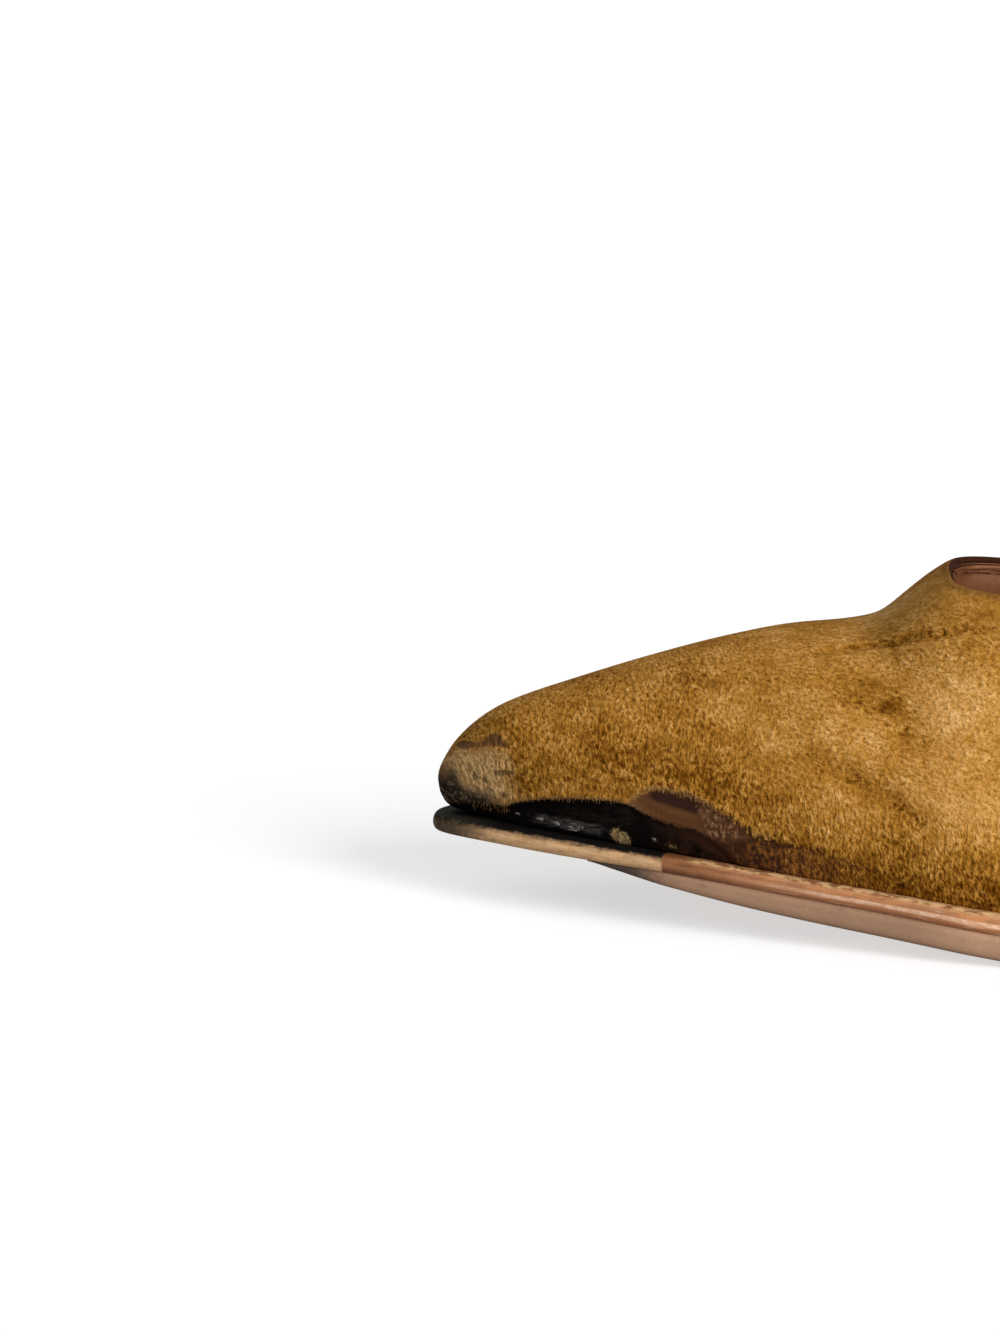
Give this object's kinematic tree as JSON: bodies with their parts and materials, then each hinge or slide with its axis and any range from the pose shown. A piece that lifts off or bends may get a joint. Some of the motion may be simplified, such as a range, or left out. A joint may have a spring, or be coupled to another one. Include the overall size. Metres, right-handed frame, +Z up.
{
  "type": "slingback flat shoe",
  "caption": "Worn suede slingback flat with a soft almond toe, a raised throat, a rounded leather sole edge over a thin rubber outsole, a low heel and a plain back strap.",
  "frame": {"origin": "middle of the shoe's length and width, on the floor", "axes": "+X from toe to heel, -Y towards the outer side of the foot, +Z up"},
  "size_m": [0.248, 0.0808, 0.0632],
  "materials": {
    "suede": "tan suede with a short nap, scuffed and worn through at the toe",
    "sole_leather": "reddish-brown dyed and waxed edge, worn to bare tan at the toe",
    "sole_rubber": "smooth matt grey-beige",
    "heel_rubber": "matt dark brown",
    "sock_leather": "smooth pinkish-brown lining leather",
    "strap_suede": "tan suede with a short nap"
  },
  "bodies": {
    "root": {"upper": "suede", "midsole": "sole_leather", "outsole": "sole_rubber", "heel_lift": "heel_rubber", "insole": "sock_leather", "sling_strap": "strap_suede"}
  },
  "joints": []
}
